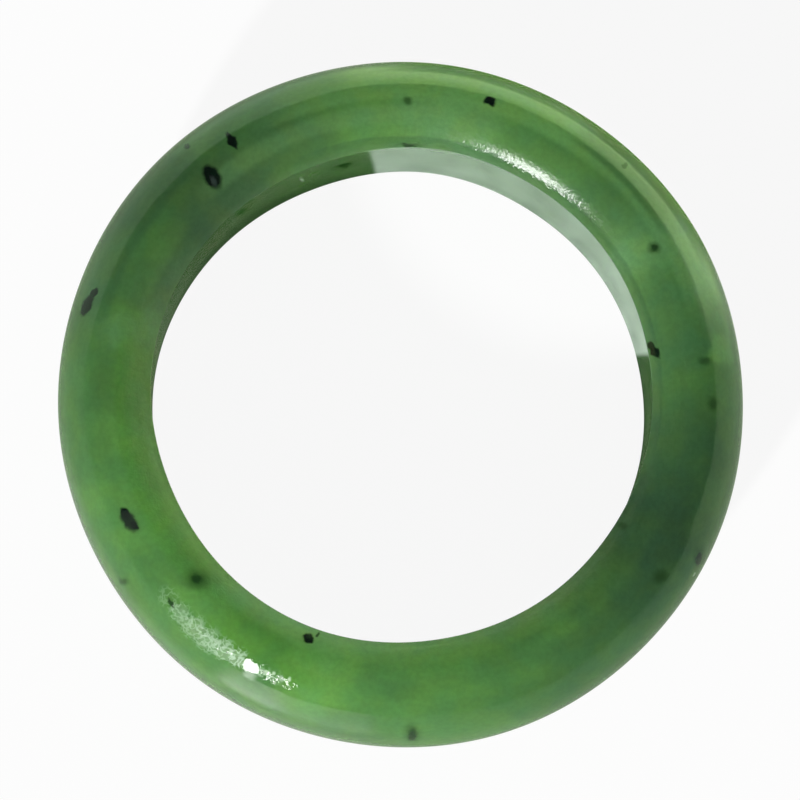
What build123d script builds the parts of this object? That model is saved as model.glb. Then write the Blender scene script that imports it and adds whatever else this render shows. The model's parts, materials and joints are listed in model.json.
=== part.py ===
"""A plain finger ring cut from one piece of jade, lying on its side.

The ring is one solid of revolution about +Z, the axis of the finger. Its origin is on
that axis, in the plane that the ring rests on. All sizes are in millimetres.

The cross-section is an upright oval. The straight finger bore cuts a little off the
oval's inner side, which leaves a flat wall round the finger between two edges that are
only just rounded by the polish.
"""

import os

from build123d import *

# Driving sizes
finger_diameter = 18.0
wall_thickness = 3.5
band_width = 6.8
bore_cut_depth = 0.8
polished_edge_radius = 0.12

# The oval reaches from the outside of the ring to the depth that the bore takes away
finger_radius = finger_diameter / 2
outer_radius = finger_radius + wall_thickness
oval_thickness = wall_thickness + bore_cut_depth
crown_radius = outer_radius - oval_thickness / 2
middle_height = band_width / 2

with BuildPart() as jade_band:
    with BuildSketch(Plane.XZ) as section:
        with Locations((crown_radius, middle_height)):
            Ellipse(oval_thickness / 2, middle_height)
        with Locations((0, middle_height)):
            Rectangle(finger_diameter, band_width, mode=Mode.SUBTRACT)
        bore_corners = section.vertices().filter_by_position(
            Axis.X, finger_radius, finger_radius
        )
        fillet(bore_corners, radius=polished_edge_radius)
    revolve(axis=Axis.Z)

jade_band.part.label = "jade_band"

os.makedirs("parts", exist_ok=True)
export_step(jade_band.part, "parts/jade_band.step")

finger_wall = jade_band.faces().filter_by(GeomType.CYLINDER).sort_by(Axis.Z)[0]
wall_box = finger_wall.bounding_box()
print("finger wall from", round(wall_box.min.Z, 3), "to", round(wall_box.max.Z, 3))
print("volume in cubic mm", round(jade_band.part.volume, 2))
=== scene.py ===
"""Dresses a plain jade finger ring that lies on a pale floor."""

import json
import logging
import math
from dataclasses import dataclass, field
from enum import Enum

import bmesh
import bpy
from mathutils import Matrix, Vector
from mathutils.bvhtree import BVHTree


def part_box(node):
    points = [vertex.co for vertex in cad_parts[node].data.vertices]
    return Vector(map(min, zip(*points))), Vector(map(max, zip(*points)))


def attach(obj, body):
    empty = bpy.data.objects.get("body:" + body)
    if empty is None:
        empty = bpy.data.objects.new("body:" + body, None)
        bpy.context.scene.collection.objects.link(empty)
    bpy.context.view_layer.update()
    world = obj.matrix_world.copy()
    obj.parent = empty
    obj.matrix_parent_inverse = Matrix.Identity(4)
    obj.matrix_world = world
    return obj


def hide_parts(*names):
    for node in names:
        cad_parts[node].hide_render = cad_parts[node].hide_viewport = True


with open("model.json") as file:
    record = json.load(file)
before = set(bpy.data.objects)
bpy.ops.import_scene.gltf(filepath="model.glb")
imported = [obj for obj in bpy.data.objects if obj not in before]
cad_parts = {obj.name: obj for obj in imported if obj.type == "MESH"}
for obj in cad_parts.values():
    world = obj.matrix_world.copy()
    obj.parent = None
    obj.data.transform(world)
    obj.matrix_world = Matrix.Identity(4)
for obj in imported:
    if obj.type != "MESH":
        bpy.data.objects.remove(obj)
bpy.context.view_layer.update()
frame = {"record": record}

log = logging.getLogger("jade_ring")

MM = 0.001
RING_NODE = "jade_band"
FINGER_MOUNT = "finger_bore"

Colour = tuple[float, float, float]
Pixel = tuple[float, float]


def direction(azimuth: float, elevation: float) -> Vector:
    """Unit vector for a compass angle about +Z from +X and a height angle, both in degrees."""
    turn, rise = math.radians(azimuth), math.radians(elevation)
    return Vector((math.cos(rise) * math.cos(turn), math.cos(rise) * math.sin(turn), math.sin(rise)))


@dataclass(frozen=True)
class NodeSheet:
    """Lays out shader nodes with few words.

    Args:
        tree: the node tree that the nodes go into.
    """

    tree: bpy.types.NodeTree

    def add(self, kind: str, settings: dict | None = None, **sockets: object) -> bpy.types.Node:
        """Adds a node, sets its properties and its sockets.

        Args:
            kind: the node's class name without the leading ShaderNode.
            settings: properties of the node itself.
            sockets: input sockets by name, with _ for a space. A value is set, an output is linked.

        Returns:
            The new node.
        """
        node = self.tree.nodes.new("ShaderNode" + kind)
        for name, value in (settings or {}).items():
            setattr(node, name, value)
        for name, value in sockets.items():
            self.put(node, name.replace("_", " "), value)
        return node

    def put(self, node: bpy.types.Node, socket: str | int, value: object) -> None:
        """Links an output to a socket, or sets the socket's own value.

        Args:
            node: the node to feed.
            socket: the input's name or number.
            value: an output to link, or a plain value.
        """
        if isinstance(value, bpy.types.NodeSocket):
            self.tree.links.new(value, node.inputs[socket])
        else:
            node.inputs[socket].default_value = value

    def math(self, operation: str, *values: object) -> bpy.types.NodeSocket:
        """Adds a Math node.

        Args:
            operation: what it works out.
            values: its inputs in order, as outputs or plain values.

        Returns:
            The node's output.
        """
        node = self.add("Math", {"operation": operation})
        for index, value in enumerate(values):
            self.put(node, index, value)
        return node.outputs[0]

    def vector(self, operation: str, *values: object) -> bpy.types.NodeSocket:
        """Adds a Vector Math node.

        Args:
            operation: what it works out.
            values: its inputs in order, as outputs or plain values.

        Returns:
            The output that the operation uses, a number or a vector.
        """
        node = self.add("VectorMath", {"operation": operation})
        for index, value in enumerate(values):
            self.put(node, "Scale" if operation == "SCALE" and index == 1 else index, value)
        single = operation in ("LENGTH", "DOT_PRODUCT", "DISTANCE")
        return node.outputs["Value" if single else "Vector"]

    def ramp(
        self, value: object, low: float, high: float, start: float = 0.0, end: float = 1.0
    ) -> bpy.types.NodeSocket:
        """Adds a smooth ramp.

        Args:
            value: what drives it.
            low, high: the values between which it rises or falls.
            start, end: what it gives below the first and above the second.

        Returns:
            The node's output.
        """
        node = self.add("MapRange", {"interpolation_type": "SMOOTHERSTEP"})
        for index, item in enumerate((value, low, high, start, end)):
            self.put(node, index, item)
        return node.outputs[0]

    def mix(self, factor: object, first: object, second: object) -> bpy.types.NodeSocket:
        """Adds a colour mix.

        Args:
            factor: share of the second colour.
            first, second: the colours, as outputs or plain values.

        Returns:
            The node's colour output.
        """
        node = self.add("Mix", {"data_type": "RGBA"})
        for socket, item in ((0, factor), (6, first), (7, second)):
            if isinstance(item, tuple) and len(item) == 3:
                item = (*item, 1.0)
            self.put(node, socket, item)
        return node.outputs[2]


@dataclass(frozen=True)
class PhotoCamera:
    """The camera, looking down on the ring almost along its axis.

    Args:
        aim: the middle of the ring, in metres.
        azimuth, elevation: where the camera stands as seen from the ring, in degrees.
        distance: from the middle of the ring, in metres.
        pixels: width and height of the picture.
        pixels_per_mm: scale at the middle of the ring.
        centre: pixel that shows the middle of the ring.
        sensor_width: in millimetres.
        clip_start: nearest distance that it sees, in metres.
    """

    aim: Vector
    azimuth: float = 260.2
    elevation: float = 82.1
    distance: float = 250 * MM
    pixels: float = 800.0
    pixels_per_mm: float = 27.478
    centre: Pixel = (400.9, 403.5)
    sensor_width: float = 36.0
    clip_start: float = 0.01

    def axes(self) -> tuple[Vector, Vector, Vector]:
        """Works out how the camera is turned.

        Returns:
            Its right, up and backward directions.
        """
        back = direction(self.azimuth, self.elevation)
        up = (Vector((0, 1, 0)) - back * back.y).normalized()
        return up.cross(back), up, back

    def place(self) -> Vector:
        """Works out where the camera stands.

        Returns:
            Its location, in metres.
        """
        right, up, back = self.axes()
        step = MM / self.pixels_per_mm
        across = (self.pixels / 2 - self.centre[0]) * step
        upwards = (self.centre[1] - self.pixels / 2) * step
        return self.aim + back * self.distance + right * across + up * upwards

    def ray(self, pixel: Pixel) -> tuple[Vector, Vector]:
        """Works out the sight line through a pixel.

        Args:
            pixel: across and down, from the picture's upper left corner.

        Returns:
            The start of the line and its direction.
        """
        right, up, back = self.axes()
        step = MM / self.pixels_per_mm / self.distance
        across = (pixel[0] - self.pixels / 2) * step
        upwards = (self.pixels / 2 - pixel[1]) * step
        return self.place(), (right * across + up * upwards - back).normalized()

    def build(self) -> bpy.types.Object:
        """Makes the camera and has the scene look through it.

        Returns:
            The camera's object.
        """
        data = bpy.data.cameras.new("photo_camera")
        data.sensor_width = self.sensor_width
        view_width = self.pixels / self.pixels_per_mm * MM
        data.lens = self.sensor_width * self.distance / view_width
        data.clip_start = self.clip_start
        camera = bpy.data.objects.new("photo_camera", data)
        right, up, back = self.axes()
        turn = Matrix((right, up, back)).transposed().to_4x4()
        camera.matrix_world = Matrix.Translation(self.place()) @ turn
        bpy.context.scene.collection.objects.link(camera)
        bpy.context.scene.camera = camera
        return camera


@dataclass(frozen=True)
class InPhoto:
    """A spot on the stone that the photo shows, by its pixel there."""

    across: float
    down: float


@dataclass(frozen=True)
class OnBand:
    """A spot anywhere on the band.

    Args:
        azimuth: round the ring, in degrees.
        tilt: from the top over the outside to the underside, in degrees. It is negative inside the ring.
    """

    azimuth: float
    tilt: float


Spot = InPhoto | OnBand


@dataclass(frozen=True)
class Waver:
    """One slow wave in the radius of a hand-cut ring.

    Args:
        lobes: how many waves go round the ring.
        height: in millimetres.
        crest: azimuth of a crest, in degrees.
    """

    lobes: int
    height: float
    crest: float

    def at(self, azimuth: float) -> float:
        """Returns the wave's share of the radius at an azimuth in radians, in metres."""
        return self.height * MM * math.cos(self.lobes * (azimuth - math.radians(self.crest)))


@dataclass(frozen=True)
class BandMesh:
    """The ring as one closed skin: an upright oval section, cut by the bore and spun round +Z.

    Args:
        bore_radius, outer_radius, width: sizes from the frame, in metres.
        bore_cut_depth: how much of the oval's inner side the bore takes away.
        edge_radius: the polished round at each end of the finger wall.
        oval_steps, edge_steps, wall_cuts, turns: how finely each stretch is cut.
        weld: distance under which two vertices become one, in metres.
        outer_waver, bore_waver, crown_waver: how far the ring strays from true circles there.
    """

    bore_radius: float
    outer_radius: float
    width: float
    bore_cut_depth: float = 0.8 * MM
    edge_radius: float = 0.12 * MM
    oval_steps: int = 88
    edge_steps: int = 5
    wall_cuts: int = 17
    turns: int = 420
    weld: float = 1e-7
    outer_waver: tuple[Waver, ...] = (
        Waver(1, 0.027, 58), Waver(2, 0.048, 109), Waver(3, 0.019, 39), Waver(7, 0.016, 30),
    )
    bore_waver: tuple[Waver, ...] = (
        Waver(1, 0.025, 225), Waver(2, 0.028, 22), Waver(3, 0.010, 40), Waver(4, 0.032, 73),
        Waver(5, 0.019, 19), Waver(7, 0.011, 35), Waver(8, 0.011, 36),
    )
    crown_waver: tuple[Waver, ...] = (Waver(1, 0.11, 240), Waver(2, 0.05, 60))

    def build(self, name: str) -> bpy.types.Object:
        """Makes the mesh object.

        Args:
            name: the new object's name.

        Returns:
            The object, at the origin, with its place in its mesh.
        """
        mesh_edit = bmesh.new()
        self._draw_section(mesh_edit)
        bmesh.ops.spin(
            mesh_edit, geom=mesh_edit.verts[:] + mesh_edit.edges[:], cent=(0, 0, 0), axis=(0, 0, 1),
            angle=2 * math.pi, steps=self.turns, use_merge=True,
        )
        bmesh.ops.remove_doubles(mesh_edit, verts=mesh_edit.verts[:], dist=self.weld)
        bmesh.ops.recalc_face_normals(mesh_edit, faces=mesh_edit.faces[:])
        self._waver(mesh_edit)
        for face in mesh_edit.faces:
            face.smooth = True
        mesh = bpy.data.meshes.new(name)
        mesh_edit.to_mesh(mesh)
        mesh_edit.free()
        ring = bpy.data.objects.new(name, mesh)
        bpy.context.scene.collection.objects.link(ring)
        return ring

    def _draw_section(self, mesh_edit: bmesh.types.BMesh) -> None:
        """Draws the section in the XZ plane: a unit arc stretched to the oval, closed by the finger wall.

        Args:
            mesh_edit: the empty mesh to draw in.
        """
        half_thickness = (self.outer_radius - self.bore_radius + self.bore_cut_depth) / 2
        crown_radius = self.outer_radius - half_thickness
        corner_angle = math.acos((self.bore_radius - crown_radius) / half_thickness)
        start = mesh_edit.verts.new((math.cos(corner_angle), 0, math.sin(corner_angle)))
        bmesh.ops.spin(
            mesh_edit, geom=[start], cent=(0, 0, 0), axis=(0, 1, 0),
            angle=2 * corner_angle, steps=self.oval_steps,
        )
        bmesh.ops.scale(mesh_edit, vec=(half_thickness, 1, self.width / 2), verts=mesh_edit.verts[:])
        bmesh.ops.translate(mesh_edit, vec=(crown_radius, 0, self.width / 2), verts=mesh_edit.verts[:])
        corners = [vert for vert in mesh_edit.verts if len(vert.link_edges) == 1]
        bmesh.ops.contextual_create(mesh_edit, geom=corners)
        bmesh.ops.bevel(
            mesh_edit, geom=corners, offset=self._edge_setback(half_thickness, crown_radius),
            offset_type="OFFSET", segments=self.edge_steps, profile=0.5, affect="VERTICES", material=-1,
        )
        finger_wall = max(mesh_edit.edges, key=lambda edge: edge.calc_length())
        bmesh.ops.subdivide_edges(mesh_edit, edges=[finger_wall], cuts=self.wall_cuts)

    def heart_line(self, spot: OnBand) -> tuple[Vector, Vector]:
        """Works out the line that leaves the stone at a spot.

        Args:
            spot: the spot.

        Returns:
            The line's start, in the middle of the stone, and its direction.
        """
        middle = (self.outer_radius + self.bore_radius) / 2
        outward = direction(spot.azimuth, 0)
        tilt = math.radians(spot.tilt)
        start = outward * middle + Vector((0, 0, self.width / 2))
        return start, outward * math.sin(tilt) + Vector((0, 0, math.cos(tilt)))

    def _waver(self, mesh_edit: bmesh.types.BMesh) -> None:
        """Lets the ring stray from true circles, as a hand-cut one does.

        Args:
            mesh_edit: the ring's mesh.
        """
        for vert in mesh_edit.verts:
            reach = vert.co.xy.length
            azimuth = math.atan2(vert.co.y, vert.co.x)
            outward = (reach - self.bore_radius) / (self.outer_radius - self.bore_radius)
            stray = outward * sum(wave.at(azimuth) for wave in self.outer_waver)
            stray += (1 - outward) * sum(wave.at(azimuth) for wave in self.bore_waver)
            at_crown = 4 * outward * (1 - outward)
            stray += at_crown * sum(wave.at(azimuth) for wave in self.crown_waver)
            vert.co.xy *= 1 + stray / reach

    def _edge_setback(self, half_thickness: float, crown_radius: float) -> float:
        """Works out where the polished round of a corner starts.

        Args:
            half_thickness: half of the whole oval's thickness.
            crown_radius: distance of the oval's middle from the axis.

        Returns:
            The distance from the sharp corner, along either side.
        """
        inset = (crown_radius - self.bore_radius) / half_thickness
        rise = self.width / 2 * math.sqrt(1 - inset**2)
        lean = math.atan2(inset / half_thickness, rise / (self.width / 2) ** 2)
        return self.edge_radius * math.tan((math.pi / 2 - lean) / 2)


@dataclass
class Skin:
    """The finished skin of the ring, on which spots are looked up.

    Args:
        ring: the ring's mesh object.
        band: its sizes.
        camera: the camera whose picture the pixels are from.
    """

    ring: bpy.types.Object
    band: BandMesh
    camera: PhotoCamera
    tree: BVHTree = field(init=False)

    def __post_init__(self) -> None:
        """Readies the search tree of the skin's faces."""
        mesh = self.ring.data
        corners = [vert.co for vert in mesh.vertices]
        self.tree = BVHTree.FromPolygons(corners, [face.vertices for face in mesh.polygons])

    def find(self, spot: Spot) -> tuple[Vector, Vector]:
        """Looks up a spot.

        Args:
            spot: the spot.

        Returns:
            Its place on the skin and the outward normal there.

        Raises:
            ValueError: if the spot is off the ring.
        """
        if isinstance(spot, InPhoto):
            start, toward = self.camera.ray((spot.across, spot.down))
        else:
            start, toward = self.band.heart_line(spot)
        place, normal = self.tree.ray_cast(start, toward)[:2]
        if place is None:
            raise ValueError(f"no stone at {spot}")
        return place, normal


class Tone(Enum):
    """The greens that drift through the stone, as linear base colours; some arcs use them for painted light
    and shade.
    """

    LIME = (0.100, 0.240, 0.056)
    BRIGHT = (0.077, 0.208, 0.042)
    PALE = (0.086, 0.202, 0.064)
    LEAF = (0.050, 0.158, 0.019)
    BODY = (0.055, 0.155, 0.036)
    TEAL = (0.038, 0.110, 0.036)
    SHADE = (0.038, 0.104, 0.027)
    MOSS = (0.033, 0.080, 0.027)
    DEEP = (0.020, 0.056, 0.026)


@dataclass(frozen=True)
class Cloud:
    """One soft patch of another green.

    Args:
        spot: its middle.
        reach: its radius, in millimetres.
        tone: its green.
        cover: how much of that green shows in its middle, from 0 to 1.
    """

    spot: Spot
    reach: float
    tone: Tone
    cover: float


CLOUDS = (
    Cloud(InPhoto(655, 530), 3.4, Tone.DEEP, 0.85),
    Cloud(InPhoto(695, 450), 2.8, Tone.DEEP, 0.55),
    Cloud(InPhoto(600, 600), 2.4, Tone.SHADE, 0.6),
    Cloud(InPhoto(222, 200), 3.2, Tone.MOSS, 0.85),
    Cloud(InPhoto(140, 285), 1.8, Tone.MOSS, 0.5),
    Cloud(InPhoto(285, 140), 2.4, Tone.MOSS, 0.5),
    Cloud(InPhoto(118, 338), 1.1, Tone.PALE, 0.5),
    Cloud(InPhoto(150, 322), 0.9, Tone.BRIGHT, 0.5),
    Cloud(InPhoto(108, 388), 1.5, Tone.SHADE, 0.6),
    Cloud(InPhoto(325, 680), 2.2, Tone.BRIGHT, 0.8),
    Cloud(InPhoto(175, 520), 1.6, Tone.BRIGHT, 0.6),
    Cloud(InPhoto(640, 250), 2.0, Tone.PALE, 0.7),
    Cloud(InPhoto(460, 110), 2.8, Tone.PALE, 0.6),
    Cloud(InPhoto(600, 210), 1.6, Tone.SHADE, 0.6),
    Cloud(InPhoto(255, 615), 1.1, Tone.SHADE, 0.7),
    Cloud(InPhoto(200, 575), 0.9, Tone.SHADE, 0.6),
    Cloud(InPhoto(405, 690), 0.9, Tone.SHADE, 0.5),
    Cloud(InPhoto(685, 330), 2.6, Tone.TEAL, 0.7),
    Cloud(InPhoto(620, 215), 1.6, Tone.TEAL, 0.4),
    Cloud(InPhoto(455, 97), 1.2, Tone.LIME, 0.5),
    Cloud(InPhoto(307, 660), 1.0, Tone.LIME, 0.6),
    Cloud(InPhoto(724, 346), 1.1, Tone.LIME, 0.7),
    Cloud(InPhoto(640, 604), 1.6, Tone.DEEP, 0.4),
    Cloud(InPhoto(163, 568), 1.7, Tone.SHADE, 0.45),
    Cloud(InPhoto(203, 571), 1.2, Tone.SHADE, 0.5),
    Cloud(InPhoto(640, 500), 1.4, Tone.DEEP, 0.4),
)


@dataclass(frozen=True)
class Arc:
    """A band of another green, or of painted light or shade, that follows the ring.

    Args:
        start, end: azimuths, in degrees.
        inner, outer: distances from the axis, in millimetres.
        tone: its green.
        cover: how much of that green shows, from 0 to 1.
        fade: softness of its long edges, in millimetres.
    """

    start: float
    end: float
    inner: float
    outer: float
    tone: Tone
    cover: float
    fade: float = 0.2


ARCS = (
    # Painted light: the outer band at the upper right made paler where the bright ground there lights it.
    Arc(18, 116, 10.7, 12.05, Tone.PALE, 0.80, 0.4),
    Arc(54, 108, 10.7, 12.05, Tone.LIME, 0.70, 0.5),
    # Painted shade: a darker patch in the painted light of the outer band.
    Arc(36, 52, 11.0, 12.15, Tone.SHADE, 0.75, 0.3),
    # Painted shadow: the ring's own shadow on the ground, as the outer rim mirrors it.
    Arc(26, 96, 11.95, 12.7, Tone.SHADE, 0.2, 0.2),
    # Painted sheen: a light band along the crown where the polish catches light from above.
    Arc(86, 132, 9.8, 10.45, Tone.PALE, 0.45, 0.4),
    Arc(136, 166, 10.9, 12.4, Tone.DEEP, 0.46, 0.5),
    Arc(170, 194, 10.7, 12.6, Tone.SHADE, 0.40, 0.5),
    Arc(142, 160, 8.8, 9.7, Tone.DEEP, 0.4, 0.4),
    Arc(168, 226, 8.8, 10.4, Tone.LEAF, 0.55, 0.6),
    Arc(234, 250, 9.8, 11.3, Tone.LEAF, 0.60, 0.5),
    Arc(262, 304, 10.4, 12.0, Tone.SHADE, 0.25, 0.6),
    Arc(214, 244, 11.0, 12.2, Tone.SHADE, 0.35, 0.4),
    Arc(276, 296, 11.3, 12.4, Tone.SHADE, 0.35, 0.4),
    # Painted glow: the inner edge on the lower side brightened where the lamp's light comes through the
    # stone.
    Arc(230, 316, 8.8, 9.85, Tone.LIME, 0.45, 0.5),
    Arc(300, 324, 10.6, 12.6, Tone.DEEP, 0.35, 0.5),
    Arc(-50, -28, 9.0, 10.4, Tone.SHADE, 0.40, 0.5),
    Arc(-12, 26, 9.2, 10.2, Tone.SHADE, 0.35, 0.5),
    # Painted shade: a dark line in the crease between the shoulder and the finger wall.
    Arc(-12, 112, 8.9, 9.34, Tone.DEEP, 0.35, 0.12),
)


@dataclass(frozen=True)
class Pigment:
    """What a grain is coloured with.

    Args:
        colour: linear base colour.
        blur: how soft its edge is, as a share of its half size.
        cover: how much of it shows, from 0 to 1.
    """

    colour: Colour
    blur: float
    cover: float


class Mineral(Enum):
    """The kinds of grain in the stone, and two painted highlights set like grains: small glints and the halo
    round the highlight.
    """

    HAZE = Pigment((0.010, 0.038, 0.006), 0.9, 0.75)
    SUNK = Pigment((0.005, 0.024, 0.004), 0.6, 0.95)
    BLACK = Pigment((0.000, 0.004, 0.001), 0.32, 1.0)
    CHARCOAL = Pigment((0.009, 0.013, 0.010), 0.4, 0.97)
    GREY = Pigment((0.030, 0.042, 0.038), 0.8, 0.7)
    # Painted highlight: small pale glint dots.
    PAINTED_GLINT = Pigment((0.370, 0.540, 0.330), 0.7, 0.85)
    # Painted highlight: the pale halo round the highlight.
    PAINTED_HALO = Pigment((0.340, 0.450, 0.330), 0.9, 0.60)


class Cut(Enum):
    """How the polish has cut a grain open."""

    DROP = "a rounded patch"
    BLOCK = "a square chip"
    SPLINTER = "a chip with pointed ends"


@dataclass(frozen=True)
class Grain:
    """One mineral grain that shows at the polished surface, or a painted glint or halo set like one.

    Args:
        spot: its middle.
        length, width: in millimetres, as the photo shows them for InPhoto.
        lean: turn of its length from the picture's right, or from round the ring for OnBand, in degrees.
        mineral: its kind.
        cut: its shape.
    """

    spot: Spot
    length: float
    width: float
    lean: float
    mineral: Mineral
    cut: Cut = Cut.DROP


GRAINS = (
    Grain(InPhoto(490, 101), 0.40, 0.32, -20, Mineral.BLACK, Cut.BLOCK),
    Grain(InPhoto(232, 141), 0.78, 0.40, -55, Mineral.BLACK, Cut.SPLINTER),
    Grain(InPhoto(229, 136), 0.34, 0.16, -80, Mineral.BLACK, Cut.SPLINTER),
    Grain(InPhoto(212, 177), 0.96, 0.58, -58, Mineral.BLACK),
    Grain(InPhoto(214, 181), 0.40, 0.18, -66, Mineral.GREY),
    Grain(InPhoto(87, 305), 0.84, 0.40, 62, Mineral.BLACK),
    Grain(InPhoto(94, 293), 0.40, 0.20, 55, Mineral.BLACK),
    Grain(InPhoto(129, 521), 0.86, 0.48, -55, Mineral.CHARCOAL),
    Grain(InPhoto(125, 513), 0.44, 0.28, -60, Mineral.BLACK),
    Grain(InPhoto(134, 526), 0.34, 0.20, -52, Mineral.BLACK),
    Grain(InPhoto(197, 579), 0.36, 0.28, -15, Mineral.SUNK),
    Grain(InPhoto(197, 580), 0.72, 0.60, -15, Mineral.HAZE),
    Grain(InPhoto(124, 581), 0.30, 0.26, 0, Mineral.HAZE),
    Grain(InPhoto(171, 603), 0.44, 0.18, -60, Mineral.SUNK, Cut.SPLINTER),
    Grain(InPhoto(308, 638), 0.36, 0.30, 5, Mineral.BLACK, Cut.BLOCK),
    Grain(InPhoto(318, 635), 0.18, 0.12, 60, Mineral.SUNK),
    Grain(InPhoto(412, 733), 0.50, 0.64, 0, Mineral.HAZE),
    Grain(InPhoto(412, 735), 0.30, 0.40, 0, Mineral.SUNK),
    Grain(InPhoto(699, 559), 0.48, 0.22, 80, Mineral.BLACK),
    Grain(InPhoto(699, 556), 0.66, 0.40, 80, Mineral.HAZE),
    Grain(InPhoto(661, 577), 0.50, 0.44, 30, Mineral.HAZE),
    Grain(InPhoto(655, 352), 0.60, 0.42, -50, Mineral.BLACK, Cut.SPLINTER),
    Grain(InPhoto(651, 346), 0.32, 0.22, -50, Mineral.BLACK),
    Grain(InPhoto(705, 361), 0.40, 0.28, 0, Mineral.HAZE),
    Grain(InPhoto(713, 404), 0.46, 0.34, 90, Mineral.HAZE),
    Grain(InPhoto(654, 248), 0.22, 0.20, 0, Mineral.SUNK),
    Grain(InPhoto(654, 248), 0.40, 0.36, 0, Mineral.HAZE),
    Grain(InPhoto(625, 166), 0.24, 0.18, 20, Mineral.SUNK),
    Grain(InPhoto(408, 101), 0.30, 0.24, 0, Mineral.HAZE),
    Grain(InPhoto(343, 166), 0.80, 0.16, 16, Mineral.HAZE),
    Grain(InPhoto(345, 165), 0.46, 0.10, 16, Mineral.BLACK),
    Grain(InPhoto(242, 212), 0.56, 0.12, 32, Mineral.HAZE),
    Grain(InPhoto(242, 212), 0.40, 0.07, 32, Mineral.SUNK),
    Grain(InPhoto(187, 146), 0.20, 0.16, 0, Mineral.SUNK),
    Grain(InPhoto(410, 145), 0.90, 0.12, -2, Mineral.HAZE),
    Grain(InPhoto(408, 145), 0.40, 0.08, -2, Mineral.SUNK),
    Grain(InPhoto(623, 526), 0.30, 0.24, -20, Mineral.HAZE),
    # Painted highlight: the halo and glint dots along the highlight on the lower left shoulder.
    Grain(InPhoto(250, 675), 0.42, 0.28, -20, Mineral.PAINTED_HALO),
    Grain(InPhoto(267, 673), 0.26, 0.16, -50, Mineral.PAINTED_GLINT),
    Grain(InPhoto(274, 673), 0.13, 0.11, -30, Mineral.PAINTED_GLINT),
    Grain(InPhoto(281, 678), 0.20, 0.14, -70, Mineral.PAINTED_HALO),
    Grain(InPhoto(290, 680), 0.16, 0.11, 70, Mineral.PAINTED_GLINT),
    # Painted highlights: two tiny glints.
    Grain(InPhoto(302, 180), 0.11, 0.11, 0, Mineral.PAINTED_GLINT),
    Grain(InPhoto(694, 575), 0.13, 0.08, 50, Mineral.PAINTED_GLINT),
    Grain(OnBand(20, 105), 0.70, 0.35, 30, Mineral.BLACK, Cut.SPLINTER),
    Grain(OnBand(64, 128), 0.45, 0.30, -10, Mineral.CHARCOAL),
    Grain(OnBand(112, 98), 0.50, 0.26, 70, Mineral.BLACK, Cut.BLOCK),
    Grain(OnBand(151, 150), 0.90, 0.50, -40, Mineral.CHARCOAL),
    Grain(OnBand(247, 135), 0.80, 0.40, 55, Mineral.BLACK),
    Grain(OnBand(286, 100), 0.60, 0.30, -65, Mineral.CHARCOAL, Cut.SPLINTER),
    Grain(OnBand(338, 120), 0.42, 0.36, 0, Mineral.BLACK, Cut.BLOCK),
    Grain(OnBand(204, -95), 0.50, 0.28, 20, Mineral.CHARCOAL),
)


@dataclass(frozen=True)
class PebblyPatch:
    """A place where the polish didn't reach the bottom of the grinding marks.

    Args:
        spot: its middle.
        reach: its radius, in millimetres.
        height: of its pebbles, in millimetres.
        wear_and_painted_glint: how much of the painted highlight, the lamp's glints on its fine ridges
            painted pale, it carries, up to 1; it also marks the patch as worn.
    """

    spot: Spot
    reach: float
    height: float
    wear_and_painted_glint: float = 0.0


@dataclass(frozen=True)
class FlatSpot:
    """A tiny flat left by the polishing wheel, which flashes when it faces half way to the light.

    Args:
        spot: its middle.
        reach: its radius, in millimetres.
        azimuth, elevation: the way it faces, in degrees.
    """

    spot: Spot
    reach: float
    azimuth: float
    elevation: float


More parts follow.
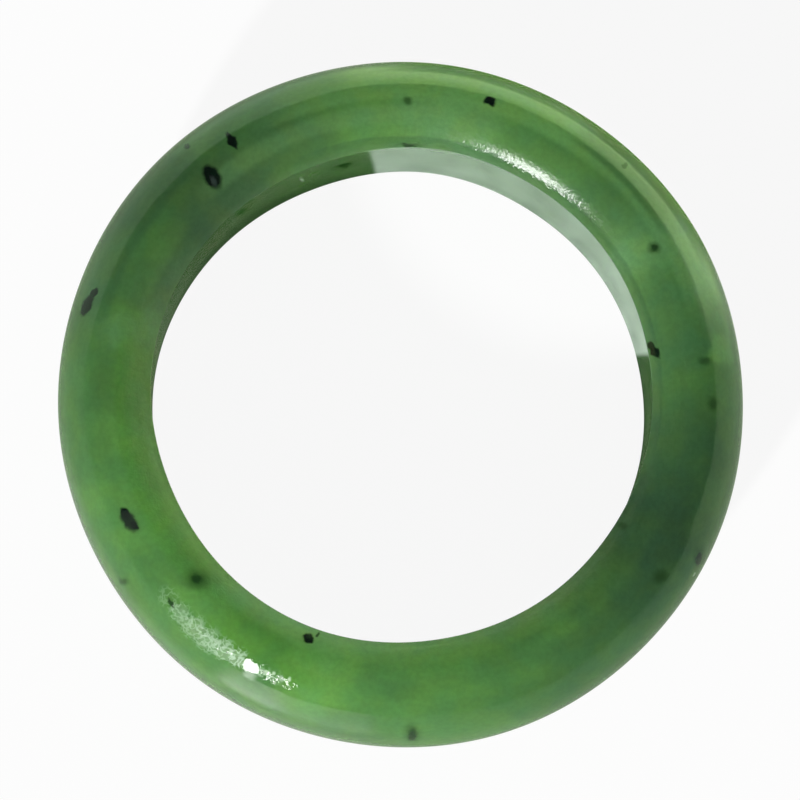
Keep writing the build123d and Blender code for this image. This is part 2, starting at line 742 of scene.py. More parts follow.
@dataclass(frozen=True)
class Polish:
    """How smooth the stone is: glassy on the finger wall and the outside, less so on the inner shoulder.

    Args:
        wall, shoulder, outside, worn, flat_spot: roughness of each.
        worn_from: value of wear_and_painted_glint from which on a patch counts as worn.
        shoulder_inside, shoulder_outside: distances from the axis where the shoulder ends, in millimetres.
        wall_fade, outside_fade: softness of the shoulder's two borders, in millimetres.
        wall_rim: softness of the border of the finger wall's streaks, in millimetres.
        wave_cell, wave_height: the faint waves all over, in millimetres.
        calm_from, calm_to: distances from the axis between which the waves fade, in millimetres.
        calm_share: what is left of the waves outside of that.
        grit_cell, grit_height: the fine grit of the shoulder, in millimetres.
        streak_cell, streak_height: the long waves round the finger wall, in millimetres.
        streak_turn: how much of the waves fits round the wall. Less of it makes them longer.
        pebble_cell: size of the pebbles in the patches, in millimetres.
        ridge_cell, ridge_height: the fine winding ridges between them, in millimetres.
        ridge_width: of a ridge, as a share of the noise that it winds through.
        speckle_cell: size of the bumps in the speckled places, in millimetres.
        wear_and_painted_glint: green of the painted highlight on the ridges.
        patches: the worn, pebbly patches.
        worn_cell, worn_gain: size and strength of the raggedness of their borders.
        worn_low, worn_high: where, between off and on them, the roughness sets in and is full.
        speckled: places with coarser grit than the rest of the shoulder.
        flat: the flat spot.
    """

    wall: float = 0.12
    shoulder: float = 0.25
    outside: float = 0.11
    worn: float = 0.46
    worn_from: float = 0.35
    worn_cell: float = 0.25
    worn_gain: float = 2.5
    worn_low: float = 0.10
    worn_high: float = 0.75
    flat_spot: float = 0.20
    shoulder_inside: float = 9.15
    shoulder_outside: float = 10.6
    wall_fade: float = 0.2
    wall_rim: float = 0.05
    outside_fade: float = 0.3
    wave_cell: float = 0.30
    wave_height: float = 0.004
    calm_from: float = 11.6
    calm_to: float = 12.3
    calm_share: float = 0.2
    grit_cell: float = 0.11
    grit_height: float = 0.006
    streak_cell: float = 0.8
    streak_height: float = 0.005
    streak_turn: float = 1.2
    pebble_cell: float = 0.22
    ridge_cell: float = 0.21
    ridge_height: float = 0.008
    ridge_width: float = 0.13
    speckle_cell: float = 0.17
    # Painted highlight: colour of the lamp's glints on the worn ridges.
    wear_and_painted_glint: Colour = (0.21, 0.35, 0.20)
    patches: tuple[PebblyPatch, ...] = (
        # Painted highlight: the last number of each patch is how much glint is painted pale on its ridges;
        # from worn_from on it also makes the patch rough.
        PebblyPatch(InPhoto(168, 598), 0.60, 0.016, 0.26),
        PebblyPatch(InPhoto(180, 614), 0.66, 0.018, 0.38),
        PebblyPatch(InPhoto(193, 628), 0.76, 0.020, 0.50),
        PebblyPatch(InPhoto(207, 640), 0.76, 0.022, 0.58),
        PebblyPatch(InPhoto(223, 650), 0.66, 0.024, 0.72),
        PebblyPatch(InPhoto(238, 658), 0.54, 0.026, 1.00),
        PebblyPatch(InPhoto(262, 672), 0.46, 0.060, 0.30),
        PebblyPatch(InPhoto(276, 678), 0.42, 0.060, 0.15),
        PebblyPatch(InPhoto(290, 684), 0.42, 0.060),
    )
    speckled: tuple[PebblyPatch, ...] = (
        PebblyPatch(InPhoto(420, 136), 1.1, 0.010),
        PebblyPatch(InPhoto(452, 139), 1.1, 0.012),
        PebblyPatch(InPhoto(484, 148), 1.1, 0.013),
        PebblyPatch(InPhoto(518, 162), 1.1, 0.010),
        PebblyPatch(InPhoto(549, 180), 1.1, 0.010),
        PebblyPatch(InPhoto(577, 202), 1.1, 0.012),
        PebblyPatch(InPhoto(602, 228), 1.1, 0.013),
        PebblyPatch(InPhoto(622, 256), 1.1, 0.010),
    )
    flat: FlatSpot = FlatSpot(InPhoto(251, 667), 0.38, 240.4, 53.5)


@dataclass(frozen=True)
class JadeFinish:
    """Green jade: a cloudy, translucent stone with mineral grains under a fine wavy polish.

    Args:
        skin: the ring's skin, on which the spots are looked up.
        polish: how smooth it is.
        ior: index of refraction.
        glow_depth: how deep light goes into the stone, in millimetres.
        drift_scale, body_share: of the slow drift of its green, and how much one green evens it out.
        yellow_cast, blue_cast, cast_scale: the faint casts over it.
        fibre_scale, fibre_dark, fibre_light: its fine felt of fibres.
        grain_depth: how deep under its spot a grain of the photo may show, in millimetres.
        arc_fade: softness of an arc's two ends, in degrees.
    """

    skin: Skin
    polish: Polish = Polish()
    ior: float = 1.61
    glow_depth: float = 30.0
    drift_scale: float = 230.0
    body_share: float = 0.65
    yellow_cast: Colour = (1.07, 1.02, 0.93)
    blue_cast: Colour = (0.93, 0.98, 1.07)
    cast_scale: float = 900.0
    fibre_scale: float = 5200.0
    fibre_dark: float = 0.94
    fibre_light: float = 1.06
    grain_depth: float = 5.0
    arc_fade: float = 8.0

    def build(self) -> bpy.types.Material:
        """Makes the node material.

        Returns:
            The material.
        """
        material = bpy.data.materials.new("polished_jade")
        material.use_nodes = True
        sheet = NodeSheet(material.node_tree)
        shader = material.node_tree.nodes["Principled BSDF"]
        place = sheet.add("TexCoord").outputs["Object"]
        colour = self._clouds(sheet, place)
        colour = self._felt(sheet, place, colour)
        # Painted highlight: the lamp's glints on the worn ridges, painted pale into the colour.
        colour = sheet.mix(self._painted_glint_net(sheet, place), colour, self.polish.wear_and_painted_glint)
        colour = self._grains(sheet, place, colour)
        sheet.put(shader, "Base Color", colour)
        sheet.put(shader, "IOR", self.ior)
        sheet.put(shader, "Subsurface Weight", 1.0)
        sheet.put(shader, "Subsurface Radius", (1.0, 1.0, 1.0))
        sheet.put(shader, "Subsurface Scale", self.glow_depth * MM)
        reach = sheet.vector("LENGTH", sheet.vector("MULTIPLY", place, (1.0, 1.0, 0.0)))
        sheet.put(shader, "Roughness", self._roughness(sheet, place, reach))
        sheet.put(shader, "Normal", self._relief(sheet, place, reach))
        return material

    def _near(
        self, sheet: NodeSheet, place: bpy.types.NodeSocket, spot: Spot, full: float, none: float
    ) -> bpy.types.NodeSocket:
        """Returns 1 within one distance of a spot and 0 beyond another, both in millimetres."""
        away = sheet.vector("DISTANCE", place, self.skin.find(spot)[0])
        return sheet.ramp(away, full * MM, none * MM, 1.0, 0.0)

    def _roughness(
        self, sheet: NodeSheet, place: bpy.types.NodeSocket, reach: bpy.types.NodeSocket
    ) -> bpy.types.NodeSocket:
        """Works out the roughness.

        Args:
            sheet: where the nodes go.
            place: the point on the stone.
            reach: its distance from the axis.

        Returns:
            The roughness there.
        """
        polish = self.polish
        inside, outside = polish.shoulder_inside * MM, polish.shoulder_outside * MM
        fade = polish.outside_fade * MM
        inner = sheet.ramp(reach, inside, inside + polish.wall_fade * MM, polish.wall, polish.shoulder)
        outer = sheet.ramp(reach, outside - fade, outside + fade, 0.0, polish.outside - polish.shoulder)
        rough = sheet.math("ADD", inner, outer)
        worn = self._worn(sheet, place)
        rough = sheet.math("MULTIPLY", rough, sheet.math("SUBTRACT", 1.0, worn))
        rough = sheet.math("MULTIPLY_ADD", worn, polish.worn, rough)
        near = self._on_flat(sheet, place)
        rough = sheet.math("MULTIPLY", rough, sheet.math("SUBTRACT", 1.0, near))
        return sheet.math("MULTIPLY_ADD", near, polish.flat_spot, rough)

    def _worn(self, sheet: NodeSheet, place: bpy.types.NodeSocket) -> bpy.types.NodeSocket:
        """Works out where the polish is worn.

        Args:
            sheet: where the nodes go.
            place: the point on the stone.

        Returns:
            1 on the worn patches and 0 off them, with a ragged border.
        """
        polish = self.polish
        near: object = 0.0
        for patch in polish.patches:
            if patch.wear_and_painted_glint >= polish.worn_from:
                full, none = 0.1 * patch.reach, patch.reach
                near = sheet.math("MAXIMUM", near, self._near(sheet, place, patch.spot, full, none))
        ragged = self._bumps(sheet, place, polish.worn_cell, 2.0)
        gain = sheet.math("MULTIPLY_ADD", ragged, polish.worn_gain, 1.0)
        return sheet.ramp(sheet.math("MULTIPLY", near, gain), polish.worn_low, polish.worn_high)

    def _bumps(
        self, sheet: NodeSheet, place: object, cell: float, detail: float = 1.0
    ) -> bpy.types.NodeSocket:
        """Returns noise about zero with cells of a size in millimetres."""
        noise = sheet.add("TexNoise", Vector=place, Scale=1 / (cell * MM), Detail=detail).outputs["Fac"]
        return sheet.math("SUBTRACT", noise, 0.5)

    def _relief(
        self, sheet: NodeSheet, place: bpy.types.NodeSocket, reach: bpy.types.NodeSocket
    ) -> bpy.types.NodeSocket:
        """Lays the relief of the polish: waves, grit, pebbles, and long streaks on the finger wall.

        Args:
            sheet: where the nodes go.
            place: the point on the stone.
            reach: its distance from the axis.

        Returns:
            The normal with that relief.
        """
        polish = self.polish
        inside, outside = polish.shoulder_inside * MM, polish.shoulder_outside * MM
        rim, turn = polish.wall_rim * MM, polish.streak_turn * MM
        on_wall = sheet.ramp(reach, inside - rim, inside + rim, 1.0, 0.0)
        drawn_out = sheet.vector("MULTIPLY", sheet.vector("NORMALIZE", place), (turn, turn, 0.0))
        drawn_out = sheet.vector("ADD", drawn_out, sheet.vector("MULTIPLY", place, (0.0, 0.0, 1.0)))
        streak = sheet.math("MULTIPLY", self._bumps(sheet, drawn_out, polish.streak_cell, 2.0), on_wall)
        height = sheet.math("MULTIPLY", streak, polish.streak_height * MM)
        off_wall = sheet.math("SUBTRACT", 1.0, on_wall)
        wave = sheet.math("MULTIPLY", self._bumps(sheet, place, polish.wave_cell), off_wall)
        calm = sheet.ramp(reach, polish.calm_from * MM, polish.calm_to * MM, 1.0, polish.calm_share)
        wave = sheet.math("MULTIPLY", wave, calm)
        height = sheet.math("MULTIPLY_ADD", wave, polish.wave_height * MM, height)
        within = sheet.ramp(reach, outside - polish.outside_fade * MM, outside, 1.0, 0.0)
        on_shoulder = sheet.math("MULTIPLY", off_wall, within)
        grit = sheet.math("MULTIPLY", self._bumps(sheet, place, polish.grit_cell), on_shoulder)
        height = sheet.math("MULTIPLY_ADD", grit, polish.grit_height * MM, height)
        speckle = self._bumps(sheet, place, polish.speckle_cell)
        height = sheet.math("MULTIPLY_ADD", speckle, self._depth(sheet, place, polish.speckled), height)
        height = sheet.math("ADD", height, self._pebbles(sheet, place))
        height = self._flatten(sheet, place, height)
        return sheet.add("Bump", Height=height, Distance=1.0, Strength=1.0).outputs["Normal"]

    def _depth(
        self, sheet: NodeSheet, place: bpy.types.NodeSocket, patches: tuple[PebblyPatch, ...]
    ) -> bpy.types.NodeSocket:
        """Works out how high the bumps of some patches are.

        Args:
            sheet: where the nodes go.
            place: the point on the stone.
            patches: the patches.

        Returns:
            The height there, in metres.
        """
        deep: object = 0.0
        for patch in patches:
            near = self._near(sheet, place, patch.spot, 0.3 * patch.reach, patch.reach)
            deep = sheet.math("MAXIMUM", deep, sheet.math("MULTIPLY", near, patch.height * MM))
        return deep

    def _pebbles(self, sheet: NodeSheet, place: bpy.types.NodeSocket) -> bpy.types.NodeSocket:
        """Lays the relief of the worn patches: pebbles with fine winding ridges between them.

        Args:
            sheet: where the nodes go.
            place: the point on the stone.

        Returns:
            The relief's height, in metres.
        """
        polish = self.polish
        pebble = self._bumps(sheet, place, polish.pebble_cell, 1.5)
        tallest = max(patch.height for patch in polish.patches)
        shape = sheet.math("MULTIPLY_ADD", self._ridges(sheet, place), polish.ridge_height / tallest, pebble)
        return sheet.math("MULTIPLY", shape, self._depth(sheet, place, polish.patches))

    def _ridges(self, sheet: NodeSheet, place: bpy.types.NodeSocket) -> bpy.types.NodeSocket:
        """Returns 1 on the crests of a net of fine winding ridges and 0 off them."""
        winding = sheet.math("ABSOLUTE", self._bumps(sheet, place, self.polish.ridge_cell, 1.0))
        return sheet.ramp(winding, 0.0, self.polish.ridge_width, 1.0, 0.0)

    def _painted_glint_net(self, sheet: NodeSheet, place: bpy.types.NodeSocket) -> bpy.types.NodeSocket:
        """Works out the painted highlight: how much of the lamp's glints on the worn ridges is painted pale.

        Args:
            sheet: where the nodes go.
            place: the point on the stone.

        Returns:
            The share of the painted highlight's colour there.
        """
        near: object = 0.0
        for patch in self.polish.patches:
            cover = self._near(sheet, place, patch.spot, 0.4 * patch.reach, patch.reach)
            near = sheet.math("MAXIMUM", near, sheet.math("MULTIPLY", cover, patch.wear_and_painted_glint))
        return sheet.math("MULTIPLY", near, self._ridges(sheet, place))

    def _on_flat(self, sheet: NodeSheet, place: bpy.types.NodeSocket) -> bpy.types.NodeSocket:
        """Works out where the flat spot is.

        Args:
            sheet: where the nodes go.
            place: the point on the stone.

        Returns:
            1 on the flat spot and 0 off it, with an uneven rim.
        """
        flat = self.polish.flat
        uneven = self._warp(sheet, place, cell=0.3, reach=0.11)
        return self._near(sheet, uneven, flat.spot, 0.6 * flat.reach, flat.reach)

    def _flatten(
        self, sheet: NodeSheet, place: bpy.types.NodeSocket, height: bpy.types.NodeSocket
    ) -> bpy.types.NodeSocket:
        """Lets the flat spot into the relief.

        Args:
            sheet: where the nodes go.
            place: the point on the stone.
            height: the relief's height.

        Returns:
            The height with the flat spot in it.
        """
        flat = self.polish.flat
        middle = self.skin.find(flat.spot)[0]
        facing = direction(flat.azimuth, flat.elevation)
        near = self._on_flat(sheet, place)
        sunk = sheet.math("SUBTRACT", middle.dot(facing), sheet.vector("DOT_PRODUCT", place, facing))
        kept = sheet.math("MULTIPLY", height, sheet.math("SUBTRACT", 1.0, near))
        return sheet.math("MULTIPLY_ADD", sunk, near, kept)

    def _warp(
        self, sheet: NodeSheet, place: bpy.types.NodeSocket, cell: float, reach: float
    ) -> bpy.types.NodeSocket:
        """Pushes a place about at random.

        Args:
            sheet: where the nodes go.
            place: the point on the stone.
            cell: size of the waves, in millimetres.
            reach: how far a point may move, in millimetres.

        Returns:
            The pushed place.
        """
        noise = sheet.add("TexNoise", Vector=place, Scale=1 / (cell * MM), Detail=2.0).outputs["Color"]
        push = sheet.vector("SCALE", sheet.vector("SUBTRACT", noise, (0.5, 0.5, 0.5)), 4 * reach * MM)
        return sheet.vector("ADD", place, push)

    def _clouds(self, sheet: NodeSheet, place: bpy.types.NodeSocket) -> bpy.types.NodeSocket:
        """Paints the stone's green with its soft patches and arcs, some of which are painted light and shade.

        Args:
            sheet: where the nodes go.
            place: the point on the stone.

        Returns:
            The colour.
        """
        true_place = self._warp(sheet, place, cell=0.8, reach=0.03)
        place = self._warp(sheet, place, cell=1.6, reach=0.5)
        drift = sheet.add("TexNoise", Vector=place, Scale=self.drift_scale, Detail=2.0).outputs["Fac"]
        colour = sheet.mix(sheet.ramp(drift, 0.35, 0.65), Tone.SHADE.value, Tone.BRIGHT.value)
        colour = sheet.mix(self.body_share, colour, Tone.BODY.value)
        for cloud in CLOUDS:
            away = sheet.vector("DISTANCE", place, self.skin.find(cloud.spot)[0])
            cover = sheet.ramp(away, 0.25 * cloud.reach * MM, cloud.reach * MM, cloud.cover, 0.0)
            colour = sheet.mix(cover, colour, cloud.tone.value)
        for arc in ARCS:
            colour = sheet.mix(self._on_arc(sheet, true_place, arc), colour, arc.tone.value)
        return colour

    def _on_arc(self, sheet: NodeSheet, place: bpy.types.NodeSocket, arc: Arc) -> bpy.types.NodeSocket:
        """Works out how much of an arc's green shows.

        Args:
            sheet: where the nodes go.
            place: the point on the stone.
            arc: the arc.

        Returns:
            Its share of the colour there.
        """
        flat = sheet.vector("MULTIPLY", place, (1.0, 1.0, 0.0))
        reach = sheet.vector("LENGTH", flat)
        half_fade = arc.fade * MM / 2
        cover = sheet.ramp(reach, arc.inner * MM - half_fade, arc.inner * MM + half_fade, 0.0, arc.cover)
        outer = sheet.ramp(reach, arc.outer * MM - half_fade, arc.outer * MM + half_fade, 1.0, 0.0)
        cover = sheet.math("MULTIPLY", cover, outer)
        middle = direction((arc.start + arc.end) / 2, 0)
        facing = sheet.vector("DOT_PRODUCT", sheet.vector("NORMALIZE", flat), middle)
        turn = (arc.end - arc.start) / 2
        inner_end, outer_end = (math.cos(math.radians(turn + side * self.arc_fade)) for side in (-1, 1))
        return sheet.math("MULTIPLY", cover, sheet.ramp(facing, outer_end, inner_end))

    def _felt(
        self, sheet: NodeSheet, place: bpy.types.NodeSocket, colour: bpy.types.NodeSocket
    ) -> bpy.types.NodeSocket:
        """Gives the green its yellow and blue casts and the fine felt of its fibres.

        Args:
            sheet: where the nodes go.
            place: the point on the stone.
            colour: the green.

        Returns:
            The colour with both.
        """
        cast = sheet.add("TexNoise", Vector=place, Scale=self.cast_scale, Detail=3.0).outputs["Fac"]
        cast = sheet.mix(sheet.ramp(cast, 0.3, 0.7), self.blue_cast, self.yellow_cast)
        fibre = sheet.add("TexNoise", Vector=place, Scale=self.fibre_scale, Detail=2.0, Roughness=0.6)
        felt = sheet.ramp(fibre.outputs["Fac"], 0.25, 0.75, self.fibre_dark, self.fibre_light)
        cast = sheet.vector("SCALE", cast, felt)
        return sheet.vector("MULTIPLY", colour, cast)

    def _grains(
        self, sheet: NodeSheet, place: bpy.types.NodeSocket, colour: bpy.types.NodeSocket
    ) -> bpy.types.NodeSocket:
        """Sets the mineral grains, and the painted glints and halo of the highlight, into the green.

        Args:
            sheet: where the nodes go.
            place: the point on the stone.
            colour: the green.

        Returns:
            The colour with the grains in it.
        """
        place = self._warp(sheet, place, cell=0.3, reach=0.05)
        for mineral in Mineral:
            pigment = mineral.value
            cover: object = 0.0
            for grain in GRAINS:
                if grain.mineral is mineral:
                    inside = sheet.ramp(
                        self._grain_distance(sheet, place, grain), 1 - pigment.blur, 1 + pigment.blur,
                        pigment.cover, 0.0,
                    )
                    cover = sheet.math("MAXIMUM", cover, inside)
            colour = sheet.mix(cover, colour, pigment.colour)
        return colour

    def _grain_distance(
        self, sheet: NodeSheet, place: bpy.types.NodeSocket, grain: Grain
    ) -> bpy.types.NodeSocket:
        """Works out the distance from a grain's middle.

        Args:
            sheet: where the nodes go.
            place: the point on the stone.
            grain: the grain.

        Returns:
            The distance, where 1 is the grain's rim.
        """
        middle, normal = self.skin.find(grain.spot)
        if isinstance(grain.spot, InPhoto):
            right, upward, outward = self.skin.camera.axes()
            depth = self.grain_depth
        else:
            right, outward = Vector((0, 0, 1)).cross(middle), normal
            right = (right - normal * right.dot(normal)).normalized()
            upward = normal.cross(right)
            depth = grain.width
        turn = Matrix((right, upward, outward)).transposed()
        turn = Matrix.Rotation(math.radians(grain.lean), 3, outward) @ turn
        half = Vector((grain.length, grain.width, depth)) * MM / 2
        node = sheet.add("Mapping", {"vector_type": "TEXTURE"}, Vector=place, Location=middle,
                         Rotation=turn.to_euler(), Scale=half)
        if grain.cut is Cut.DROP:
            return sheet.vector("LENGTH", node.outputs[0])
        if grain.cut is Cut.SPLINTER:
            return sheet.vector("DOT_PRODUCT", sheet.vector("ABSOLUTE", node.outputs[0]), (1.0, 1.0, 1.0))
        squared = sheet.vector("MULTIPLY", node.outputs[0], node.outputs[0])
        return sheet.math("POWER", sheet.vector("DOT_PRODUCT", squared, squared), 0.25)


@dataclass(frozen=True)
class Sector:
    """What the polish mirrors in one sector of the compass.

    Args:
        start, end: azimuths, in degrees.
        glow: linear colour of the ground there.
        top: height angle up to which that ground reaches, in degrees.
        fade: width of the sector's soft ends, in degrees.
    """

    start: float
    end: float
    glow: Colour
    top: float = 0.0
    fade: float = 14.0

    def share(self, sheet: NodeSheet, toward: bpy.types.NodeSocket) -> bpy.types.NodeSocket:
        """Works out whether a direction lies in the sector.

        Args:
            sheet: where the nodes go.
            toward: the level direction.

        Returns:
            1 inside the sector and 0 outside it.
        """
        facing = sheet.vector("DOT_PRODUCT", toward, direction((self.start + self.end) / 2, 0))
        reach = (self.end - self.start) / 2
        inner, outer = (math.cos(math.radians(reach + side * self.fade / 2)) for side in (-1, 1))
        return sheet.ramp(facing, outer, inner)


@dataclass(frozen=True)
class Studio:
    """A plain pale floor under one low key light and a dim soft surround.

    The camera sees the floor and the surround near white, and the stone's polish mirrors a darker and greener
    ground that changes round the compass, as in the photo.

    Args:
        key_azimuth, key_elevation, key_spread, key_power: the lamp that lights the stone and the floor.
        glint_azimuth, glint_elevation, glint_spread, glint_power: the lamp that the polish mirrors.
        surround: even light of the room.
        sky: what the polish mirrors above the ground.
        horizon_fade: softness of the line between the two, as a slope.
        zenith_reach, zenith_glow: the paler patch straight above, in degrees, and its light.
        floor_size, floor_tone: half width of the floor, in metres, and its grey.
        camera_share: how much of the floor the camera sees as plain white.
        mirror_height, mirror_radius: the part of the ring in which the ground is seen, in metres.
        foot_reach, foot_fade, foot_ground, foot_sector: the ground at the ring's foot.
        shadow_reach, shadow_fade, shadow_sector: the ground in the ring's shadow.
        open_ground, sectors: the ground further out.
        hole_reach, hole_ground, hole_sector: the ground inside the ring, unlit and lit.
        wall_foot, wall_foot_ground: the ground under the finger wall.
        hole_streaks, streak_turn, streak_reach, streak_scale: the streaks in the lit ground.
    """

    key_azimuth: float = 238.0
    key_elevation: float = 24.5
    key_spread: float = 4.0
    key_power: float = 4.9
    glint_azimuth: float = 236.4
    glint_elevation: float = 22.0
    glint_spread: float = 18.0
    glint_power: float = 1.8
    surround: float = 0.15
    sky: Colour = (0.05, 0.06, 0.06)
    horizon_fade: float = 0.02
    zenith_reach: float = 9.0
    zenith_glow: float = 0.12
    floor_size: float = 2.0
    floor_tone: float = 0.88
    camera_share: float = 0.92
    mirror_height: float = 5.8 * MM
    mirror_radius: float = 11.5 * MM
    foot_reach: float = 16.6 * MM
    foot_fade: tuple[float, float] = (0.90, 1.12)
    foot_ground: Colour = (0.30, 0.38, 0.27)
    foot_sector: Sector = Sector(190, 264, (0.42, 0.46, 0.39), fade=24.0)
    shadow_reach: float = 22.0 * MM
    shadow_fade: tuple[float, float] = (0.95, 1.05)
    shadow_sector: Sector = Sector(29, 90, (0.10, 0.25, 0.03), fade=20.0)
    open_ground: Colour = (0.26, 0.30, 0.25)
    sectors: tuple[Sector, ...] = (
        Sector(11, 100, (0.92, 1.50, 0.58), top=6, fade=20.0),
        Sector(102, 130, (0.50, 0.70, 0.50), top=7),
        Sector(130, 160, (0.36, 0.48, 0.36), top=6),
        Sector(237, 250, (1.75, 1.65, 1.72), top=-3, fade=8.0),
        Sector(249, 266, (0.80, 0.84, 0.78), top=-3, fade=8.0),
        Sector(266, 290, (0.28, 0.38, 0.28), top=-4, fade=8.0),
        Sector(290, 340, (0.24, 0.34, 0.27), top=-9),
        Sector(340, 380, (0.36, 0.48, 0.32), top=2),
    )
    hole_reach: float = 10 * MM
    hole_ground: Colour = (0.022, 0.070, 0.014)
    wall_foot: tuple[float, float] = (8.5 * MM, 8.95 * MM)
    wall_foot_ground: Colour = (0.055, 0.105, 0.045)
    hole_sector: Sector = Sector(14.6, 95.3, (0.62, 0.76, 0.64), fade=2.0)
    hole_streaks: float = 1.2
    streak_turn: float = 9 * MM
    streak_reach: float = 6.0
    streak_scale: float = 750.0

    def build(self) -> None:
        """Makes the floor, the lamps and the surround."""
        self._floor()
        key = self._lamp("key_light", self.key_azimuth, self.key_elevation, self.key_spread, self.key_power)
        key.visible_glossy = False
        glint = self._lamp(
            "glint_light", self.glint_azimuth, self.glint_elevation, self.glint_spread, self.glint_power,
        )
        glint.visible_diffuse = False
        self._surround()

    def _blend(self, sheet: NodeSheet, factor: object, first: object, second: object) -> bpy.types.NodeSocket:
        """Mixes two shaders.

        Args:
            sheet: where the node goes.
            factor: share of the second.
            first, second: the shaders' outputs.

        Returns:
            The mix's output.
        """
        node = sheet.add("MixShader")
        for socket, item in enumerate((factor, first, second)):
            sheet.put(node, socket, item)
        return node.outputs[0]

    def _floor(self) -> None:
        """Lays the floor at the height that the ring rests on."""
        mesh_edit = bmesh.new()
        bmesh.ops.create_grid(mesh_edit, x_segments=1, y_segments=1, size=self.floor_size)
        mesh = bpy.data.meshes.new("floor")
        mesh_edit.to_mesh(mesh)
        mesh_edit.free()
        floor = bpy.data.objects.new("floor", mesh)
        bpy.context.scene.collection.objects.link(floor)
        material = bpy.data.materials.new("pale_floor")
        material.use_nodes = True
        material.node_tree.nodes.clear()
        material.cycles.emission_sampling = "NONE"
        sheet = NodeSheet(material.node_tree)
        ray = sheet.add("LightPath").outputs
        matt = sheet.add("BsdfDiffuse", Color=(self.floor_tone,) * 3 + (1.0,)).outputs[0]
        pale = sheet.add("Emission").outputs[0]
        mirrored = sheet.add("Emission", Color=self._floor_in_polish(sheet)).outputs[0]
        seen = self._blend(sheet, sheet.math("MULTIPLY", ray["Is Camera Ray"], self.camera_share), matt, pale)
        sheet.add("OutputMaterial", Surface=self._blend(sheet, ray["Is Glossy Ray"], seen, mirrored))
        mesh.materials.append(material)

    def _ground(
        self, sheet: NodeSheet, toward: bpy.types.NodeSocket, rise: bpy.types.NodeSocket
    ) -> bpy.types.NodeSocket:
        """Works out the mirrored ground's colour.

        Args:
            sheet: where the nodes go.
            toward: level unit vector from the ring.
            rise: slope at which the ring sees the place, as a tangent.

        Returns:
            The ground's colour below its top and the sky's above it.
        """
        colour: object = self.open_ground
        top: object = 0.0
        for sector in self.sectors:
            share = sector.share(sheet, toward)
            colour = sheet.mix(share, colour, sector.glow)
            top = sheet.math("MULTIPLY_ADD", share, math.tan(math.radians(sector.top)), top)
        over = sheet.ramp(sheet.math("SUBTRACT", rise, top), -self.horizon_fade, self.horizon_fade)
        return sheet.mix(over, colour, self.sky)

    def _floor_in_polish(self, sheet: NodeSheet) -> bpy.types.NodeSocket:
        """Paints the floor as the stone's polish mirrors it.

        Args:
            sheet: where the nodes go.

        Returns:
            The floor's colour.
        """
        place = sheet.add("TexCoord").outputs["Object"]
        toward = sheet.vector("NORMALIZE", place)
        reach = sheet.vector("LENGTH", place)
        rise = sheet.math("DIVIDE", -self.mirror_height, sheet.math("SUBTRACT", reach, self.mirror_radius))
        colour = self._ground(sheet, toward, rise)
        start, end = (share * self.foot_reach for share in self.foot_fade)
        at_foot = sheet.ramp(reach, start, end, 1.0, 0.0)
        unlit = self.shadow_sector.share(sheet, toward)
        near = sheet.mix(self.foot_sector.share(sheet, toward), self.foot_ground, self.foot_sector.glow)
        near = sheet.mix(unlit, near, self.shadow_sector.glow)
        start, end = (share * self.shadow_reach for share in self.shadow_fade)
        in_shadow = sheet.ramp(reach, start, end, 1.0, 0.0)
        near_share = sheet.mix(unlit, at_foot, in_shadow)
        colour = sheet.mix(near_share, colour, near)
        in_hole = sheet.math("LESS_THAN", reach, self.hole_reach)
        return sheet.mix(in_hole, colour, self._hole(sheet, toward, reach))

    def _hole(
        self, sheet: NodeSheet, toward: bpy.types.NodeSocket, reach: bpy.types.NodeSocket
    ) -> bpy.types.NodeSocket:
        """Paints the floor inside the ring as the finger wall mirrors it.

        Args:
            sheet: where the nodes go.
            toward: level unit vector from the ring's axis.
            reach: distance from the axis.

        Returns:
            The floor's colour.
        """
        by_wall = sheet.ramp(reach, *self.wall_foot)
        unlit = sheet.mix(by_wall, self.hole_ground, self.wall_foot_ground)
        height = sheet.add("CombineXYZ", Z=sheet.math("MULTIPLY", reach, self.streak_reach))
        drawn_out = sheet.vector("ADD", sheet.vector("SCALE", toward, self.streak_turn), height.outputs[0])
        noise = sheet.add("TexNoise", Vector=drawn_out, Scale=self.streak_scale, Detail=2.0).outputs["Fac"]
        gain = sheet.math("MULTIPLY_ADD", sheet.math("SUBTRACT", noise, 0.5), self.hole_streaks, 1.0)
        lit = sheet.vector("SCALE", self.hole_sector.glow, gain)
        return sheet.mix(self.hole_sector.share(sheet, toward), unlit, lit)

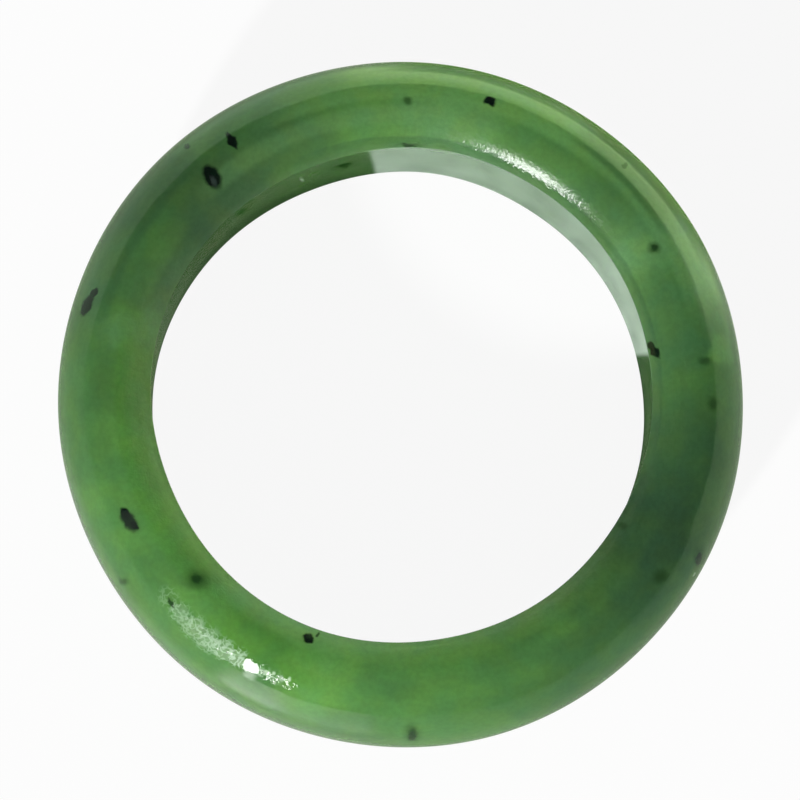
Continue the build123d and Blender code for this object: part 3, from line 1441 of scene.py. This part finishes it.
    def _lamp(
        self, name: str, azimuth: float, elevation: float, spread: float, power: float
    ) -> bpy.types.Object:
        """Hangs a low far lamp.

        Args:
            name: the lamp's name.
            azimuth, elevation: where it hangs as seen from the ring, in degrees.
            spread: how wide it looks from there, in degrees.
            power: its strength.

        Returns:
            The lamp's object.
        """
        data = bpy.data.lights.new(name, "SUN")
        data.angle = math.radians(spread)
        data.energy = power
        lamp = bpy.data.objects.new(name, data)
        toward = direction(azimuth, elevation)
        lamp.location = toward
        lamp.rotation_euler = toward.to_track_quat("Z", "Y").to_euler()
        bpy.context.scene.collection.objects.link(lamp)
        return lamp

    def _surround(self) -> None:
        """Sets the even light of the room, and what of it the polish mirrors."""
        world = bpy.data.worlds.new("surround")
        world.use_nodes = True
        world.node_tree.nodes.clear()
        world.cycles.sampling_method = "NONE"
        sheet = NodeSheet(world.node_tree)
        ray = sheet.add("LightPath").outputs
        toward = sheet.add("TexCoord").outputs["Generated"]
        height = sheet.add("SeparateXYZ", Vector=toward).outputs["Z"]
        level = sheet.vector("NORMALIZE", sheet.vector("MULTIPLY", toward, (1.0, 1.0, 0.0)))
        overhead = sheet.ramp(height, math.cos(math.radians(self.zenith_reach)), 1.0, 0.0, self.zenith_glow)
        colour = sheet.vector("ADD", self._ground(sheet, level, height), overhead)
        mirrored = sheet.add("Background", Color=colour).outputs[0]
        room = sheet.add("Background", Color=(self.surround,) * 3 + (1.0,)).outputs[0]
        pale = sheet.add("Background", Color=(1.0, 1.0, 1.0, 1.0)).outputs[0]
        seen = self._blend(sheet, ray["Is Camera Ray"], room, pale)
        sheet.add("OutputWorld", Surface=self._blend(sheet, ray["Is Glossy Ray"], seen, mirrored))
        bpy.context.scene.world = world


def main() -> None:
    """Builds the ring, the studio and the camera, and logs the ring's number of faces."""
    logging.basicConfig(level=logging.INFO, format="%(message)s")
    low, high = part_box(RING_NODE)
    bore = next(mount for mount in frame["record"]["mounts"] if mount["name"] == FINGER_MOUNT)
    band = BandMesh(bore["dims"]["r_mm"] * MM, (high.x - low.x) / 2, high.z - low.z)
    camera = PhotoCamera(Vector((0, 0, (low.z + high.z) / 2)))
    camera.build()
    ring = band.build("jade_ring_skin")
    ring.data.materials.append(JadeFinish(Skin(ring, band, camera)).build())
    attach(ring, "root")
    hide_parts(RING_NODE)
    log.info("%s: %d faces", ring.name, len(ring.data.polygons))
    Studio().build()
    bpy.context.scene.view_settings.view_transform = "Standard"


if __name__ == "__main__":
    main()
